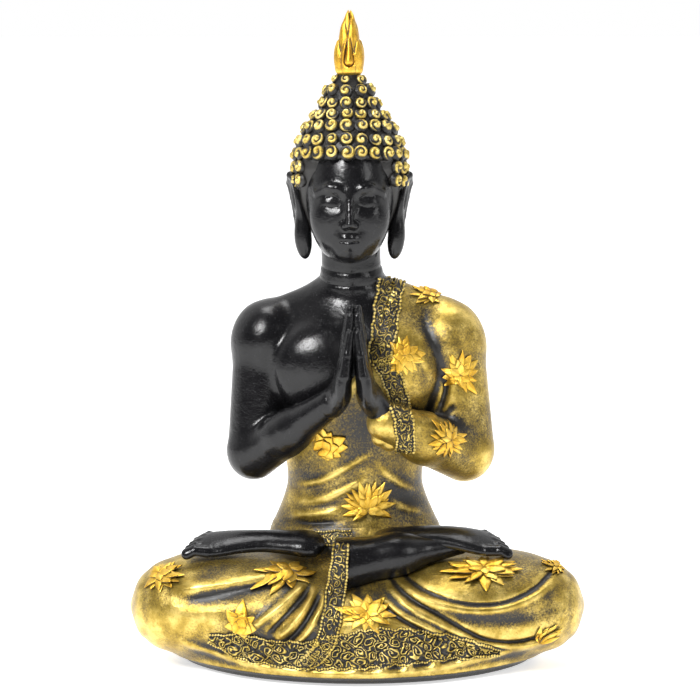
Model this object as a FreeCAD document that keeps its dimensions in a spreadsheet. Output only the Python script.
"""Seated praying figure: a cast resin temple figurine, as the castings and ornaments bonded into it.

Frame: millimetres, +Z up, origin at the centre of the underside. The figure faces -Y, so its own left
is +X.
Part names use the figure's own left and right.
"""

import FreeCAD, Part
import math
import os
import Sketcher
from FreeCAD import Placement, Rotation, Vector

X_AXIS, Y_AXIS, Z_AXIS = Vector(1, 0, 0), Vector(0, 1, 0), Vector(0, 0, 1)
PETALS, PETAL_NOTCH = 9, 0.55  # petals of a flower, and how far in the notches between them go
DOME_SPREAD, BOSS_SPREAD, BOSS_RISE = 1.1, 0.3, 1.6  # flower dome and boss, against reach and relief
REACH = 200.0  # longer than the figure in any direction, for rays and trimming prisms

# Driving sizes, each one a cell of the sheet.
SIZES = {
    "felt_thickness": 1.0,
    "felt_half_width": 54.0,
    "felt_half_depth": 38.0,
    "plate_thickness": 2.5,
    "plate_half_width": 50.0,
    "plate_half_depth": 34.0,
    "plate_clearance": 0.2,
    "cavity_half_width": 42.0,
    "cavity_half_depth": 28.0,
    "cavity_height": 24.0,
    "robe_thickness": 1.2,
    "border_relief": 0.9,
    "border_width": 8.5,
    "dowel_radius": 2.5,
    "dowel_clearance": 0.05,
    "waist_dowel_radius": 5.0,
    "finial_dowel_radius": 1.2,
    "shoulder_radius": 11.3,
    "elbow_radius": 9.0,
    "wrist_radius": 5.2,
    "sleeve_radius": 12.2,
    "sleeve_elbow_radius": 10.0,
    "sleeve_wrist_radius": 6.6,
    "hair_thickness": 2.6,
    "curl_radius": 1.75,
    "curl_pitch": 3.7,
    "topknot_curl_radius": 1.5,
    "petal_length": 5.0,
    "petal_relief": 1.7,
    "shin_radius": 7.4,
    "ankle_radius": 4.6,
    "hem_relief": 1.2,
    "hem_height": 11.0,
    "sash_width": 8.0,
}

# Points of the figure's skeleton: across, depth, height.
POINTS = {
    "right_shoulder": (-30.5, 4.0, 109.0),
    "right_elbow": (-34.5, -3.0, 69.5),
    "right_wrist": (-8.5, -25.0, 90.0),
    "left_shoulder": (30.3, 4.0, 109.0),
    "left_elbow": (35.2, -3.0, 69.5),
    "left_wrist": (9.4, -23.5, 84.6),
    "shin_start": (-4.0, -29.0, 31.0),
    "shin_ankle": (31.0, -24.0, 36.0),
    "head": (-2.6, 2.5, 161.5),
    "topknot": (-2.6, 3.0, 178.0),
    "finial": (-2.8, 3.0, 197.0),
}

# Crossed legs under the robe, right half, in sections across X:
# position, setback, height, half depth, half height.
LEG_SECTIONS = {
    "tip": (76.0, -17.0, 20.5, 1.5, 1.5),
    "knee_end": (74.5, -17.0, 20.5, 7.0, 6.5),
    "knee_cap": (70.0, -16.5, 20.5, 13.5, 12.0),
    "knee": (62.0, -15.5, 20.5, 19.5, 15.8),
    "thigh": (50.0, -14.0, 20.8, 25.0, 17.8),
    "groin": (32.0, -12.0, 20.5, 30.5, 18.2),
    "lap_side": (14.0, -12.0, 19.0, 33.0, 16.5),
    "lap": (0.0, -12.0, 18.0, 34.0, 15.0),
}
# Seat and hips, horizontal sections: height, half width, half depth, setback.
SEAT_SECTIONS = {
    "hem": (1.0, 60.0, 44.0, -3.0),
    "skirt": (5.0, 61.0, 45.0, -3.0),
    "seat": (12.0, 56.0, 42.0, -2.5),
    "buttocks": (20.0, 48.0, 38.0, 0.0),
    "pelvis": (30.0, 38.0, 31.0, 5.0),
    "hips": (38.0, 31.0, 25.0, 8.0),
    "belt": (46.0, 27.0, 20.0, 8.5),
}
TORSO_SECTIONS = {
    "belt": (46.0, 27.0, 20.0, 8.5),
    "navel": (52.0, 24.0, 17.5, 7.5),
    "waist": (58.0, 22.3, 16.0, 6.5),
    "flank": (66.0, 22.5, 15.5, 5.8),
    "ribs": (76.0, 24.5, 16.0, 5.0),
    "breast": (88.0, 28.0, 17.0, 4.0),
    "chest": (98.0, 30.5, 17.5, 3.2),
    "armpit": (107.0, 31.0, 16.8, 3.6),
    "collar": (114.0, 28.0, 14.5, 4.5),
    "shoulder_slope": (119.0, 22.0, 12.0, 5.0),
    "neck_root": (123.0, 15.5, 10.8, 5.0),
    "neck_base": (127.0, 11.0, 10.0, 4.6),
    "neck": (131.0, 10.0, 9.8, 4.0),
    "throat": (137.0, 9.6, 9.6, 3.0),
}
TOPKNOT_SECTIONS = {
    "root": (0.0, 12.5, 12.5, 0.0),
    "swell": (7.0, 9.8, 9.8, 0.0),
    "shoulder": (12.5, 8.6, 8.6, 0.0),
    "waist": (17.0, 5.6, 5.6, 0.0),
    "seat": (19.0, 4.4, 4.4, 0.0),
}
FOOT_SECTIONS = {
    "heel_end": (0.0, 2.6, 2.4, 0.0),
    "heel": (3.0, 5.2, 4.6, 0.0),
    "arch": (17.0, 5.4, 4.2, 0.4),
    "ball": (33.0, 7.0, 3.6, 0.0),
    "toe_root": (38.0, 6.4, 2.6, -0.4),
}
# Flowers: the part each one sits on, a point just off that part's surface, scale, first petal's angle.
FLOWERS = {
    "lotus_shoulder": ("left_upper_sleeve", (31.0, -4.0, 122.0), 0.95, 20),
    "lotus_breast": ("robe_drape", (16.0, -20.0, 102.0), 1.0, 30),
    "lotus_upper_sleeve": ("left_upper_sleeve", (37.0, -14.0, 95.0), 1.1, 60),
    "lotus_elbow": ("left_elbow_sleeve", (31.0, -18.0, 76.0), 1.1, 10),
    "lotus_ribs": ("robe_drape", (-13.0, -14.0, 71.5), 0.9, 40),
    "lotus_waist": ("robe_drape", (3.5, -13.0, 55.0), 1.25, 90),
    "lotus_right_knee": ("lap_casting", (-64.0, -32.0, 34.0), 1.1, 25),
    "lotus_right_thigh": ("lap_casting", (-25.0, -41.0, 36.0), 1.2, 0),
    "lotus_right_shin": ("lap_casting", (-40.0, -42.0, 13.0), 0.95, 70),
    "lotus_lap": ("lap_casting", (4.0, -50.0, 19.5), 1.35, 15),
    "lotus_left_thigh": ("lap_casting", (42.0, -38.0, 35.0), 1.3, 45),
    "lotus_left_knee": ("lap_casting", (66.0, -22.0, 42.0), 0.9, 45),
}

doc = FreeCAD.newDocument("praying_figure")
sheet = doc.addObject("Spreadsheet::Sheet", "dim")
nodes = {}
row = 0


def store(name, value):
    """Puts a number into the next cell of the sheet, under that name."""
    global row
    row += 1
    sheet.set(f"A{row}", name)
    sheet.set(f"B{row}", str(value))
    sheet.setAlias(f"B{row}", name)


def store_sections(piece, sections, fields):
    for section, values in sections.items():
        for field, value in zip(fields, values):
            store(f"{piece}_{section}_{field}", value)


STACK_FIELDS = ("level", "half_width", "half_depth", "setback")
for cell_name, cell_value in SIZES.items():
    store(cell_name, cell_value)
for point_name, place in POINTS.items():
    for letter, coordinate in zip("xyz", place):
        store(f"{point_name}_{letter}", coordinate)
store_sections("leg", LEG_SECTIONS, ("across", "setback", "level", "half_depth", "half_height"))
store_sections("seat", SEAT_SECTIONS, STACK_FIELDS)
store_sections("torso", TORSO_SECTIONS, STACK_FIELDS)
store_sections("topknot", TOPKNOT_SECTIONS, STACK_FIELDS)
store_sections("foot", FOOT_SECTIONS, STACK_FIELDS)
doc.recompute()


def size(name):
    return float(sheet.get(name))


def point(name):
    return Vector(*(size(f"{name}_{letter}") for letter in "xyz"))


def bind(thing, **expressions):
    """Binds properties to expressions over the sheet; __ in a name stands for a dot."""
    for path, expression in expressions.items():
        thing.setExpression(path.replace("__", "."), expression)
    return thing


def node(label, thing):
    """Marks an object of the document as a piece of the assembly."""
    thing.Label = label
    nodes[label] = thing
    return thing


def frame_rotation(along, towards):
    """Rotation with local Z along one direction and local X as near as possible to the other."""
    z_dir = Vector(along).normalize()
    y_dir = z_dir.cross(Vector(towards)).normalize()
    return Rotation(y_dir.cross(z_dir), y_dir, z_dir, "ZXY")


def fuse(name, *shapes):
    joined = doc.addObject("Part::MultiFuse", name)
    joined.Shapes = list(shapes)
    return joined


def cut(name, base, *tools):
    """Takes the tools away from base, one after another."""
    for index, tool in enumerate(tools):
        step = doc.addObject("Part::Cut", f"{name}_cut_{index}")
        step.Base, step.Tool = base, tool
        base = step
    return base


def common(name, base, tool):
    kept = doc.addObject("Part::Common", name)
    kept.Base, kept.Tool = base, tool
    return kept


def ellipsoid(name, centre, half_sizes, rotation=Rotation()):
    """Ellipsoid with half sizes along its own X, Y and Z."""
    solid = doc.addObject("Part::Ellipsoid", name)
    solid.Radius2, solid.Radius3, solid.Radius1 = half_sizes
    solid.Angle1, solid.Angle2, solid.Angle3 = -90, 90, 360
    solid.Placement = Placement(Vector(centre), rotation)
    return solid


def box(name, corner, lengths, rotation=Rotation()):
    solid = doc.addObject("Part::Box", name)
    solid.Length, solid.Width, solid.Height = lengths
    solid.Placement = Placement(Vector(corner), rotation)
    return solid


def prism(name, outline, start_y=-REACH, depth=2 * REACH):
    """Straight prism along Y over an outline given as (across, height) points."""
    wire = doc.addObject("Part::Polygon", f"{name}_outline")
    wire.Nodes = [Vector(x, start_y, z) for x, z in outline]
    wire.Close = True
    solid = doc.addObject("Part::Extrusion", name)
    solid.Base, solid.DirMode, solid.Dir = wire, "Custom", Y_AXIS
    solid.LengthFwd, solid.Solid = depth, True
    return solid


def strip(name, start, end, width):
    """Outline of a straight band between two (across, height) points."""
    across, rise = end[0] - start[0], end[1] - start[1]
    length = math.hypot(across, rise)
    side = (-rise / length * width / 2, across / length * width / 2)
    return prism(
        name,
        [
            (start[0] + side[0], start[1] + side[1]),
            (end[0] + side[0], end[1] + side[1]),
            (end[0] - side[0], end[1] - side[1]),
            (start[0] - side[0], start[1] - side[1]),
        ],
    )


def oval_slab(name, half_width, half_depth, bottom, thickness):
    """Flat elliptical slab centred on the origin; all four sizes are expressions."""
    outline = doc.addObject("Part::Ellipse", f"{name}_outline")
    bind(outline, MajorRadius=half_width, MinorRadius=half_depth, Placement__Base__z=bottom)
    slab = doc.addObject("Part::Extrusion", name)
    slab.Base, slab.DirMode, slab.Dir, slab.Solid = outline, "Custom", Z_AXIS, True
    return bind(slab, LengthFwd=thickness)


def loft(name, sections):
    solid = doc.addObject("Part::Loft", name)
    solid.Sections, solid.Solid = sections, True
    return solid


def stacked_loft(name, piece, sections, grow="0", base=Vector(), lean=0.0):
    """Loft over horizontal ellipses whose sizes are the sheet's cells for that piece, grown outwards."""
    rings = []
    for section in sections:
        ring = doc.addObject("Part::Ellipse", f"{name}_{section}")
        cell = f"dim.{piece}_{section}"
        share = size(f"{piece}_{section}_level")
        ring.Placement.Base = Vector(base.x + lean * share, 0, 0)
        bind(
            ring,
            MajorRadius=f"{cell}_half_width + {grow}",
            MinorRadius=f"{cell}_half_depth + {grow}",
            Placement__Base__y=f"{cell}_setback + {base.y}",
            Placement__Base__z=f"{cell}_level + {base.z}",
        )
        rings.append(ring)
    return loft(name, rings)


def legs_loft(name, grow="0"):
    """Loft over upright ellipses from one knee to the other."""
    rings = []
    order = [(section, -1) for section in LEG_SECTIONS]
    order += [(section, 1) for section in reversed(LEG_SECTIONS) if section != "lap"]
    for section, sign in order:
        ring = doc.addObject("Part::Ellipse", f"{name}_{section}")
        ring.Placement.Rotation = frame_rotation(X_AXIS, Y_AXIS)
        cell = f"dim.leg_{section}"
        bind(
            ring,
            MajorRadius=f"{cell}_half_depth + {grow}",
            MinorRadius=f"{cell}_half_height + {grow}",
            Placement__Base__x=f"{cell}_across * {sign}",
            Placement__Base__y=f"{cell}_setback",
            Placement__Base__z=f"{cell}_level",
        )
        rings.append(ring)
    return loft(name, rings)


def origin_feature(body, role):
    return next(part for part in body.Origin.OriginFeatures if part.Role == role)


def new_sketch(body, name, plane="XZ_Plane"):
    sketch = body.newObject("Sketcher::SketchObject", name)
    sketch.AttachmentSupport = [(origin_feature(body, plane), "")]
    sketch.MapMode = "FlatFace"
    return sketch


def revolve(body, sketch):
    turned = body.newObject("PartDesign::Revolution", f"{sketch.Name}_turned")
    turned.Profile = sketch
    turned.ReferenceAxis = (sketch, ["V_Axis"])
    turned.Angle = 360
    body.Tip = turned
    return body


def limb(name, start, end, start_radius, end_radius):
    """Tapered limb with round ends between two skeleton points, turned about the line that joins them."""
    body = doc.addObject("PartDesign::Body", name)
    sketch = new_sketch(body, f"{name}_profile")
    first, second = point(start), point(end)
    span = (second - first).Length
    r_start, r_end = size(start_radius), size(end_radius)
    tilt = math.asin((r_start - r_end) / span)
    lower = Part.ArcOfCircle(Part.Circle(Vector(), Z_AXIS, r_start), -math.pi / 2, tilt)
    upper = Part.ArcOfCircle(Part.Circle(Vector(0, span), Z_AXIS, r_end), tilt, math.pi / 2)
    edge = Part.LineSegment(lower.EndPoint, upper.StartPoint)
    axis = Part.LineSegment(upper.EndPoint, lower.StartPoint)
    arc_low, side, arc_high, spine = (sketch.addGeometry(g, False) for g in (lower, edge, upper, axis))
    at_start, at_end, at_centre, v_axis = 1, 2, 3, -2
    rule = Sketcher.Constraint
    sketch.addConstraint(
        [
            rule("Coincident", arc_low, at_centre, -1, 1),
            rule("PointOnObject", arc_high, at_centre, v_axis),
            rule("Tangent", arc_low, at_end, side, at_start),
            rule("Tangent", side, at_end, arc_high, at_start),
            rule("Coincident", arc_high, at_end, spine, at_start),
            rule("Coincident", spine, at_end, arc_low, at_start),
            rule("PointOnObject", spine, at_start, v_axis),
            rule("PointOnObject", spine, at_end, v_axis),
        ]
    )
    radius_low = sketch.addConstraint(rule("Radius", arc_low, r_start))
    radius_high = sketch.addConstraint(rule("Radius", arc_high, r_end))
    length = sketch.addConstraint(rule("DistanceY", -1, 1, arc_high, at_centre, span))
    squares = " + ".join(f"(dim.{end}_{c} - dim.{start}_{c})^2" for c in "xyz")
    sketch.setExpression(f"Constraints[{radius_low}]", f"dim.{start_radius}")
    sketch.setExpression(f"Constraints[{radius_high}]", f"dim.{end_radius}")
    sketch.setExpression(f"Constraints[{length}]", f"sqrt({squares})")
    revolve(body, sketch)
    body.Placement = Placement(first, Rotation(Z_AXIS, second - first))
    return body


def dowel(name, base, direction, radius, length):
    """Round pin; radius is an expression over the sheet."""
    pin = doc.addObject("Part::Cylinder", name)
    pin.Height = length
    pin.Placement = Placement(base, Rotation(Z_AXIS, direction))
    return bind(pin, Radius=radius)


def turned_body(name, outline, place):
    """Solid turned about its own Z from an outline of (radius, height) points, smoothed by one spline."""
    body = doc.addObject("PartDesign::Body", name)
    sketch = new_sketch(body, f"{name}_profile")
    curve = Part.BSplineCurve()
    curve.interpolate([Vector(r, z, 0) for r, z in outline])
    low, high = Vector(0, outline[0][1]), Vector(0, outline[-1][1])
    sketch.addGeometry(curve, False)
    sketch.addGeometry(Part.LineSegment(curve.EndPoint, high), False)
    sketch.addGeometry(Part.LineSegment(high, low), False)
    sketch.addGeometry(Part.LineSegment(low, curve.StartPoint), False)
    revolve(body, sketch)
    body.Placement = Placement(place, Rotation())
    return body


def flower(label, base, aim, scale, first_angle):
    """Open lotus: a domed star of pointed petals round a boss, fitted to the surface nearest to the aim."""
    aim = Vector(aim)
    place = base.Shape.distToShape(Part.Vertex(aim))[1][0][0]
    facing = frame_rotation(aim - place, Z_AXIS if abs(aim.z - place.z) < abs(aim.y - place.y) else X_AXIS)
    tip_reach = size("petal_length") * scale
    outline = []
    for index in range(2 * PETALS):
        angle = math.radians(first_angle + 180 * index / PETALS)
        reach = tip_reach if index % 2 == 0 else tip_reach * PETAL_NOTCH
        outline.append(Vector(reach * math.cos(angle), reach * math.sin(angle), -tip_reach))
    wire = doc.addObject("Part::Polygon", f"{label}_outline")
    wire.Nodes, wire.Close = outline, True
    star = doc.addObject("Part::Extrusion", f"{label}_star")
    star.Base, star.DirMode, star.Dir = wire, "Custom", Z_AXIS
    star.LengthFwd, star.Solid = 2 * tip_reach, True
    relief = size("petal_relief") * scale
    dome_half = tip_reach * DOME_SPREAD
    boss_half = tip_reach * BOSS_SPREAD
    dome = ellipsoid(f"{label}_dome", Vector(), (dome_half, dome_half, relief))
    boss = ellipsoid(f"{label}_boss", Vector(), (boss_half, boss_half, relief * BOSS_RISE))
    petals = fuse(f"{label}_petals", common(f"{label}_blank", star, dome), boss)
    petals.Placement = Placement(place, facing)
    return node(label, cut(label, petals, base))


# --- lap casting: crossed legs, seat and hem in one hollow casting, closed from below ---
legs = legs_loft("legs")
seat = stacked_loft("seat", "seat", SEAT_SECTIONS)
felt_top = "dim.felt_thickness"
plate_top = "(dim.felt_thickness + dim.plate_thickness)"
plate = oval_slab("plate", "dim.plate_half_width", "dim.plate_half_depth", felt_top, "dim.plate_thickness")
felt = oval_slab("felt", "dim.felt_half_width", "dim.felt_half_depth", "0", "dim.felt_thickness")
base_plate = node("base_plate", plate)
node("felt_pad", felt)
rebate = oval_slab(
    "rebate",
    "dim.plate_half_width + dim.plate_clearance",
    "dim.plate_half_depth + dim.plate_clearance",
    "0",
    plate_top,
)
cavity = doc.addObject("Part::Ellipsoid", "cavity")
cavity.Angle1, cavity.Angle2, cavity.Angle3 = 0, 90, 360
bind(
    cavity,
    Radius1="dim.cavity_height",
    Radius2="dim.cavity_half_width",
    Radius3="dim.cavity_half_depth",
    Placement__Base__z=plate_top,
)
floor_trim = box("floor_trim", (-REACH / 2, -REACH / 2, -REACH / 4), (REACH, REACH, REACH / 4 + 1.0))
WAIST_PIN_FOOT, WAIST_PIN_LENGTH = Vector(0, 8, 34), 26
waist_bore_radius = "dim.waist_dowel_radius + dim.dowel_clearance"
waist_pin = dowel("waist_pin", WAIST_PIN_FOOT, Z_AXIS, "dim.waist_dowel_radius", WAIST_PIN_LENGTH)
waist_bore = dowel("waist_bore", WAIST_PIN_FOOT, Z_AXIS, waist_bore_radius, WAIST_PIN_LENGTH)
node("waist_dowel", waist_pin)
lap_body = fuse("lap_body", legs, seat)
lap_casting = node("lap_casting", cut("lap", lap_body, floor_trim, rebate, cavity, waist_bore))

# --- torso and the robe over it ---
torso_core = stacked_loft("torso_core", "torso", TORSO_SECTIONS)
robe_outer = stacked_loft("robe_outer", "torso", list(TORSO_SECTIONS)[:-2], "dim.robe_thickness")
border_outer = stacked_loft(
    "border_outer", "torso", list(TORSO_SECTIONS)[:-1], "dim.robe_thickness + dim.border_relief"
)
NECK_PIN_DROP, NECK_PIN_LENGTH = 32, 18  # from the head's centre down to the pin's foot
neck_pin_foot = point("head") - Z_AXIS * NECK_PIN_DROP
neck_bore_radius = "dim.dowel_radius + dim.dowel_clearance"
head_pin = dowel("head_pin", neck_pin_foot, Z_AXIS, "dim.dowel_radius", NECK_PIN_LENGTH)
head_bore = dowel("head_bore", neck_pin_foot, Z_AXIS, neck_bore_radius, NECK_PIN_LENGTH)
node("neck_dowel", head_pin)
ROBE_EDGE = [  # outline of the draped side in the front view, from the neck down the free edge
    (13.0, 133.0),
    (5.0, 106.0),
    (-24.0, 66.0),
    (-45.0, 60.0),
    (-45.0, 46.0),
    (45.0, 46.0),
    (45.0, 133.0),
]
robe_region = prism("robe_region", ROBE_EDGE)
torso_casting = node("torso_casting", cut("torso", torso_core, waist_bore, head_bore))
robe_drape = node("robe_drape", common("robe_shell", cut("robe", robe_outer, torso_core), robe_region))
under_border = fuse("under_border", torso_core, common("robe_solid", robe_outer, robe_region))
border_band = cut("border_band", border_outer, under_border)
BORDER_BACK = 4.0  # how far behind the middle the borders' band runs
front_half = box("front_half", (-REACH / 2, -REACH / 2, 0), (REACH, REACH / 2 + BORDER_BACK, REACH))
border_front = common("border_front", border_band, front_half)

# --- arms ---
right_upper = limb("right_upper_body", "right_shoulder", "right_elbow", "shoulder_radius", "elbow_radius")
right_fore = limb("right_forearm_body", "right_elbow", "right_wrist", "elbow_radius", "wrist_radius")
left_upper = limb("left_upper_body", "left_shoulder", "left_elbow", "sleeve_radius", "sleeve_elbow_radius")
left_fore = limb("left_fore_body", "left_elbow", "left_wrist", "sleeve_elbow_radius", "sleeve_wrist_radius")
right_upper_arm = node("right_upper_arm", cut("right_upper", right_upper, torso_core, robe_outer))
right_forearm = node("right_forearm", cut("right_fore", right_fore, right_upper, robe_outer))
left_upper_sleeve = node("left_upper_sleeve", cut("left_upper", left_upper, robe_outer))
left_elbow_sleeve = node("left_elbow_sleeve", cut("left_fore", left_fore, left_upper, robe_outer))

# --- praying hands: palm, four fingers and thumb each, split by the plane where the palms meet ---
PALM_PLANE = -1.25  # where the palms meet, across
HAND_LEAN, FINGER_LEAN = 7.0, 4.2  # degrees, wrists apart and fingertips together
PALM_OUT, PALM_DEPTH, PALM_HEIGHT = 3.8, -28.0, 95.5
PALM_HALF = (3.4, 7.8, 12.5)
THUMB_OUT, THUMB_DEPTH, THUMB_HEIGHT = 2.4, -20.6, 99.5
THUMB_HALF = (2.1, 2.4, 10.0)
FINGER_OUT, KNUCKLE_HEIGHT = 1.9, 90.0
FINGERS = {  # depth, tip height, half width
    "little": (-33.5, 115.5, 1.9),
    "ring": (-30.4, 120.5, 2.0),
    "middle": (-27.2, 123.0, 2.1),
    "index": (-24.0, 121.0, 2.0),
}


def half_hand():
    """The right hand: palm, fingers and thumb as one casting, flat where it meets the other palm."""
    palm_turn, finger_turn = Rotation(Y_AXIS, HAND_LEAN), Rotation(Y_AXIS, FINGER_LEAN)
    pieces = [
        ellipsoid("palm", (PALM_PLANE - PALM_OUT, PALM_DEPTH, PALM_HEIGHT), PALM_HALF, palm_turn),
        ellipsoid("thumb", (PALM_PLANE - THUMB_OUT, THUMB_DEPTH, THUMB_HEIGHT), THUMB_HALF, palm_turn),
    ]
    for finger, (depth, tip, half) in FINGERS.items():
        reach = (tip - KNUCKLE_HEIGHT) / 2
        centre = (PALM_PLANE - FINGER_OUT, depth, tip - reach)
        pieces.append(ellipsoid(f"{finger}_finger", centre, (half, half, reach), finger_turn))
    own_side = box("palm_side", (PALM_PLANE - REACH, -REACH, 0), (REACH, REACH, REACH))
    return common("hand_half", fuse("hand_whole", *pieces), own_side)


right_half = half_hand()
left_half = doc.addObject("Part::Mirroring", "left_half")
left_half.Source = right_half
left_half.Base = Vector(PALM_PLANE, 0, 0)
left_half.Normal = X_AXIS
right_hand = node("right_hand", cut("right_hand", right_half, right_fore))
left_hand = node("left_hand", cut("left_hand", left_half, left_fore))

# --- head ---
head_centre = point("head")
HEAD_HALF = (15.4, 18.8, 20.5)
skull = ellipsoid("skull", head_centre, HEAD_HALF)
NOSE_TILT = Rotation(X_AXIS, -14)
jaw = ellipsoid("jaw", head_centre + Vector(0, -4.6, -13.0), (12.8, 12.6, 13.6))
nose = ellipsoid("nose", head_centre + Vector(0, -16.9, -9.0), (2.3, 3.2, 6.5), NOSE_TILT)
lips = ellipsoid("lips", head_centre + Vector(0, -15.4, -18.6), (4.6, 2.0, 1.7))
chin = ellipsoid("chin", head_centre + Vector(0, -13.6, -23.2), (4.0, 3.4, 3.0))
EYELID_HALF = (4.6, 2.9, 2.6)
lids = [
    ellipsoid("right_eyelid", head_centre + Vector(-6.2, -14.9, -3.4), EYELID_HALF),
    ellipsoid("left_eyelid", head_centre + Vector(6.2, -14.9, -3.4), EYELID_HALF),
]
head_mass = fuse("head_mass", skull, jaw, nose, lips, chin, *lids)
head_casting = node("head_casting", cut("head", head_mass, torso_core, head_bore))


def ear(side_name, sign):
    """Long-lobed ear: a flat shell at the temple that hangs down into a lobe."""
    root = head_centre + Vector(sign * 17.2, 1.2, -6.5)
    shell_turn, lobe_turn = Rotation(Y_AXIS, 8 * sign), Rotation(Y_AXIS, -5 * sign)
    shell = ellipsoid(f"{side_name}_ear_shell", root, (2.1, 5.0, 9.6), shell_turn)
    lobe_centre = root + Vector(-0.9 * sign, -0.8, -11.5)
    lobe = ellipsoid(f"{side_name}_ear_lobe", lobe_centre, (2.2, 3.2, 8.4), lobe_turn)
    whole = fuse(f"{side_name}_ear_whole", shell, lobe)
    return node(f"{side_name}_ear", cut(f"{side_name}_ear", whole, head_mass))


right_ear, left_ear = ear("right", -1), ear("left", 1)

# --- hair: cap, topknot, curls and the flame on top ---
hair_grow = size("hair_thickness")
HAIR_HALF = tuple(half + hair_grow for half in HEAD_HALF)
hair_mass = ellipsoid("hair_mass", head_centre + Vector(0, 1.0, 0.5), HAIR_HALF)
HAIRLINE = 6.4  # above the head's centre
HAIR_FRONT, NAPE = -3.5, -13.0  # how far forward the sides come, and where the hair ends below
corner = head_centre - Vector(REACH / 2, REACH / 2, REACH / 2)
face_opening = box("face_opening", corner, (REACH, REACH / 2 + HAIR_FRONT, REACH / 2 + HAIRLINE))
nape_trim = box("nape_trim", corner, (REACH, REACH, REACH / 2 + NAPE))
hair_cap = node("hair_cap", cut("hair", hair_mass, head_mass, face_opening, nape_trim, right_ear, left_ear))
topknot_mass = stacked_loft("topknot_mass", "topknot", TOPKNOT_SECTIONS, base=point("topknot"))
FINIAL_PIN_DROP, FINIAL_PIN_LENGTH = 9, 12
finial_pin_foot = point("finial") - Z_AXIS * FINIAL_PIN_DROP
finial_pin = dowel("finial_pin", finial_pin_foot, Z_AXIS, "dim.finial_dowel_radius", FINIAL_PIN_LENGTH)
node("finial_dowel", finial_pin)
topknot = node("topknot", cut("topknot", topknot_mass, hair_mass, finial_pin))
KNOT_ROWS = (  # height, distance from the axis, curls in the row, slope of the surface
    (7.0, 9.8, 18, 0.35),
    (10.3, 9.2, 17, 0.35),
    (13.4, 8.2, 15, 0.7),
    (16.0, 6.4, 12, 0.7),
)
FINIAL_OUTLINE = [(3.6, 0.0), (5.4, 2.6), (5.1, 6.0), (3.9, 11.5), (2.7, 15.5), (1.7, 19.0), (0.5, 21.4)]
finial_body = turned_body("finial_body", FINIAL_OUTLINE, point("finial"))
flame_finial = node("flame_finial", cut("flame", finial_body, topknot_mass, finial_pin))


def curl_places(centre, half_sizes, pitch, low, high):
    """Staggered rows of places over an ellipsoid, between two heights, each with its normal."""
    half_x, half_y, half_z = half_sizes
    lift, last_lift, level = math.asin(low / half_z), math.asin(high / half_z), 0
    while lift < last_lift:
        ring, height = math.cos(lift), half_z * math.sin(lift)
        around = int(2 * math.pi * half_x * ring / pitch)
        for step in range(around):
            turn = 2 * math.pi * (step + 0.5 * (level % 2)) / around
            offset = Vector(half_x * ring * math.sin(turn), -half_y * ring * math.cos(turn), height)
            normal = Vector(offset.x / half_x**2, offset.y / half_y**2, offset.z / half_z**2)
            yield centre + offset, normal
        level += 1
        while math.hypot(half_x * (ring - math.cos(lift)), half_z * math.sin(lift) - height) < pitch:
            lift += 0.002


def curls(label, places, radius):
    """All the curls of one area as a group of separate domes standing on the surface they dress."""
    domes = []
    for place, normal in places:
        dome = Part.makeSphere(radius, Vector(), Z_AXIS, 0, 90, 360)
        dome.Placement = Placement(place, Rotation(Z_AXIS, normal))
        domes.append(dome)
    group = doc.addObject("Part::Feature", label)
    group.Shape = Part.makeCompound(domes)
    return node(label, group)


on_hair = [
    (place, normal)
    for place, normal in curl_places(hair_mass.Placement.Base, HAIR_HALF, size("curl_pitch"), -11.0, 16.5)
    if not (place.y < head_centre.y - 5.0 and place.z < head_centre.z + HAIRLINE + 1.9)
    and not (abs(place.y - head_centre.y) < 7.8 and place.z < head_centre.z + 5.0)
]
curls("hair_curls", on_hair, size("curl_radius"))
knot_places = []
for index, (height, ring, count, rise) in enumerate(KNOT_ROWS):
    for step in range(count):
        turn = 2 * math.pi * (step + 0.5 * (index % 2)) / count
        out = Vector(math.sin(turn), -math.cos(turn), 0)
        knot_places.append((point("topknot") + out * ring + Z_AXIS * height, out + Z_AXIS * rise))
curls("topknot_curls", knot_places, size("topknot_curl_radius"))

# --- feet and the bare shin over the lap ---
shin_body = limb("right_shin_body", "shin_start", "shin_ankle", "shin_radius", "ankle_radius")
right_shin = node("right_shin", cut("right_shin", shin_body, lap_body, torso_core, robe_outer))


def foot(side_name, heel, sign):
    """Foot lying on its side on the opposite thigh, toes outwards."""
    outline = stacked_loft(f"{side_name}_foot_sole", "foot", FOOT_SECTIONS)
    toes = []
    for index in range(5):
        reach = 40.0 - 1.1 * index
        half = 1.9 if index == 0 else 1.4
        centre = (-5.0 + 2.5 * index, 0, reach)
        toes.append(ellipsoid(f"{side_name}_toe_{index}", centre, (half, half, 4.2)))
    whole = fuse(f"{side_name}_foot_whole", outline, *toes)
    whole.Placement = Placement(Vector(heel), frame_rotation(Vector(sign, 0.1, -0.04), Y_AXIS))
    return whole


right_foot_whole = foot("right", (6.0, -20.0, 42.0), 1)
left_foot_whole = foot("left", (-9.0, -19.0, 41.5), -1)
foot_beds = (lap_body, shin_body, torso_core, robe_outer)
right_foot = node("right_foot", cut("right_foot", right_foot_whole, *foot_beds))
left_foot = node("left_foot", cut("left_foot", left_foot_whole, *foot_beds, right_foot_whole))

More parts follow.
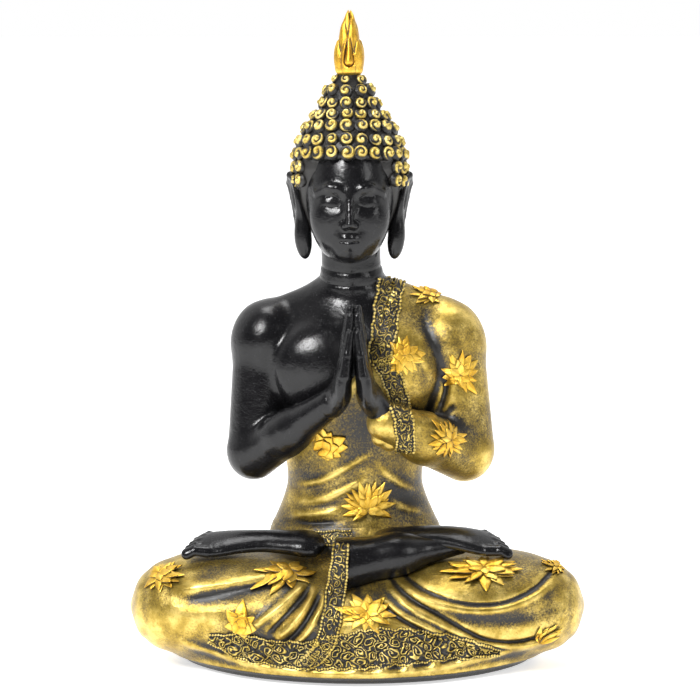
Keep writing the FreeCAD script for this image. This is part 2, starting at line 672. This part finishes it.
# --- ornamental borders ---
legs_outer = legs_loft("legs_outer", "dim.hem_relief")
seat_outer = stacked_loft("seat_outer", "seat", SEAT_SECTIONS, "dim.hem_relief")
lap_outer = fuse("lap_outer", legs_outer, seat_outer)
SASH = ((-5.0, 38.0), (-9.0, 6.0))
sash_band = strip("sash_band", *SASH, size("sash_width"))
sash_blank = common("sash_blank", common("sash_front", sash_band, front_half), lap_outer)
feet = (left_foot_whole, right_foot_whole)
front_sash = node("front_sash", cut("sash", sash_blank, lap_body, shin_body, *feet))
HEM_RIGHT, HEM_LEFT, HEM_LOW, HEM_BACK = -40.0, 42.0, 1.0, -10.0  # ends, lower edge, rearmost depth
hem_size = (HEM_LEFT - HEM_RIGHT, REACH / 2 + HEM_BACK, size("hem_height"))
hem_band = box("hem_band", (HEM_RIGHT, -REACH / 2, HEM_LOW), hem_size)
hem_blank = common("hem_blank", hem_band, lap_outer)
hem_border = node("hem_border", cut("hem", hem_blank, lap_body, sash_band))
NECK_END, BREAST, CUFF = (12.5, 128.0), (8.5, 104.0), (15.5, 74.0)
upper_strip = strip("upper_strip", NECK_END, BREAST, size("border_width"))
lower_strip = strip("lower_strip", BREAST, CUFF, size("border_width") - 1.0)
arm_tools = (left_upper, left_fore, right_fore, left_hand, right_hand)
upper_border = common("upper_border", border_front, upper_strip)
lower_border = common("lower_border", border_front, lower_strip)
shoulder_border = node("shoulder_border", cut("shoulder_border", upper_border, *arm_tools))
cuff_border = node("cuff_border", cut("cuff_border", lower_border, upper_strip, *arm_tools))
cuff_fold = ellipsoid("cuff_fold", (8.0, -17.0, 79.0), (4.6, 5.5, 6.5), Rotation(Y_AXIS, 12))
node("sleeve_cuff", cut("cuff", cuff_fold, robe_outer, lower_strip, left_fore, left_hand, right_hand))

# --- flowers, each on its own part of the robe ---
doc.recompute()
BACKINGS = {"robe_drape": robe_outer, "lap_casting": lap_body}
for flower_name, (host, aim_point, flower_scale, petal_angle) in FLOWERS.items():
    flower(flower_name, BACKINGS.get(host, nodes[host]), aim_point, flower_scale, petal_angle)
doc.recompute()


def check_and_write():
    """Stops on anything that failed, and then writes each piece to its own STEP file."""
    for thing in doc.Objects:
        if {"Invalid", "Error"} & set(thing.State):
            raise RuntimeError(f"{thing.Name} failed: {thing.State}")
    os.makedirs("parts", exist_ok=True)
    for label, thing in nodes.items():
        shape = thing.Shape
        if shape.isNull() or not shape.isValid() or not shape.Solids:
            raise RuntimeError(f"{label} has no valid solid")
        Part.makeCompound(shape.Solids).exportStep(f"parts/{label}.step")
        print(f"{label:22s} solids {len(shape.Solids):3d}  volume {shape.Volume:10.1f} mm3")


check_and_write()
